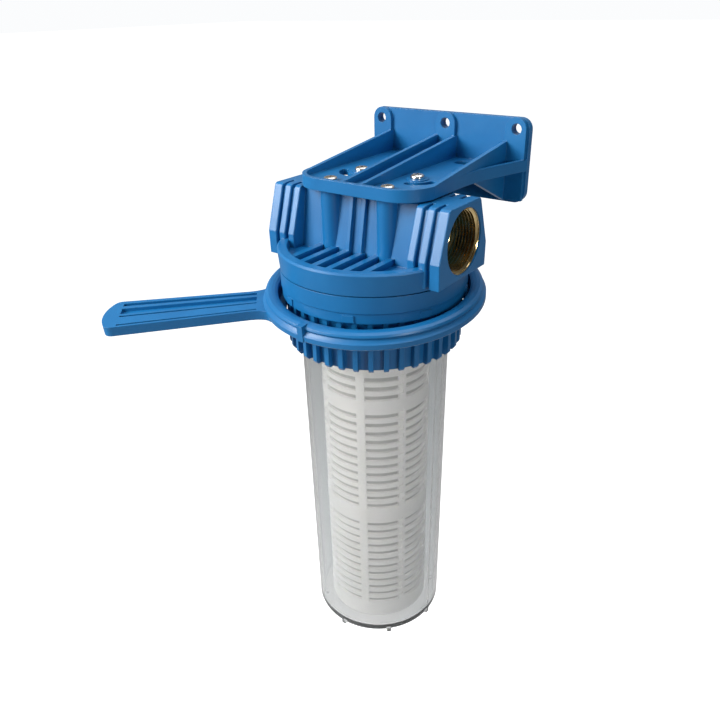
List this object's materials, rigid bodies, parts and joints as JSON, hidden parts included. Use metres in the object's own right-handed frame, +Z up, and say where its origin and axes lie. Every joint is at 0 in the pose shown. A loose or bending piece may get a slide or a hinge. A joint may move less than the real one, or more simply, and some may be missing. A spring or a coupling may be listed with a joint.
{
  "type": "cartridge filter housing",
  "caption": "Wall-mounted cartridge filter housing: blue ported head on a flared bracket, ring nut, clear bowl with a slatted cartridge, and a ring wrench hanging on the nut.",
  "frame": {"origin": "centre of the middle wall hole, on the back face of the bracket's wall plate", "axes": "+Y into the wall, +Z up along the bowl axis, +X along the ports towards the outlet"},
  "size_m": [0.2245, 0.2374, 0.3957],
  "materials": {
    "blue_plastic": "semi-matte moulded polypropylene",
    "brass": "machined",
    "clear_plastic": "clear polished moulding",
    "black_rubber": "smooth",
    "bright_steel": "zinc plated",
    "white_plastic": "natural moulded",
    "filter_net": "fine woven net",
    "white_rubber": "smooth"
  },
  "bodies": {
    "housing": {"head": "blue_plastic", "inlet_insert": "brass", "outlet_insert": "brass", "bracket": "blue_plastic", "bracket_screws": "bright_steel"},
    "cartridge": {"cartridge_cage": "white_plastic", "cartridge_mesh": "filter_net", "cartridge_top_cap": "white_plastic", "cartridge_bottom_cap": "white_plastic", "cartridge_top_seal": "white_rubber", "cartridge_bottom_seal": "white_rubber"},
    "bowl": {"bowl": "clear_plastic", "bowl_o_ring": "black_rubber"},
    "nut": {"ring_nut": "blue_plastic"},
    "wrench": {"wrench": "blue_plastic"}
  },
  "joints": [
    {"name": "bowl_drop", "type": "slide", "parent": "housing", "child": "cartridge", "axis": [0, 0, -1], "range_m": [0, 0.3]},
    {"name": "thread_travel", "type": "slide", "parent": "cartridge", "child": "bowl", "axis": [0, 0, -1], "range_m": [0, 0.019]},
    {"name": "nut_turn", "type": "hinge", "parent": "bowl", "child": "nut", "pos_m": [0, -0.0995, -0.1034], "axis": [0, 0, -1], "range_deg": [0, 1080]},
    {"name": "wrench_slide", "type": "slide", "parent": "nut", "child": "wrench", "axis": [0, 0, -1], "range_m": [0, 0.3]}
  ],
  "couplings": [
    {"joint": "thread_travel", "follows": "nut_turn", "m_per_rad": 0.00095493}
  ]
}
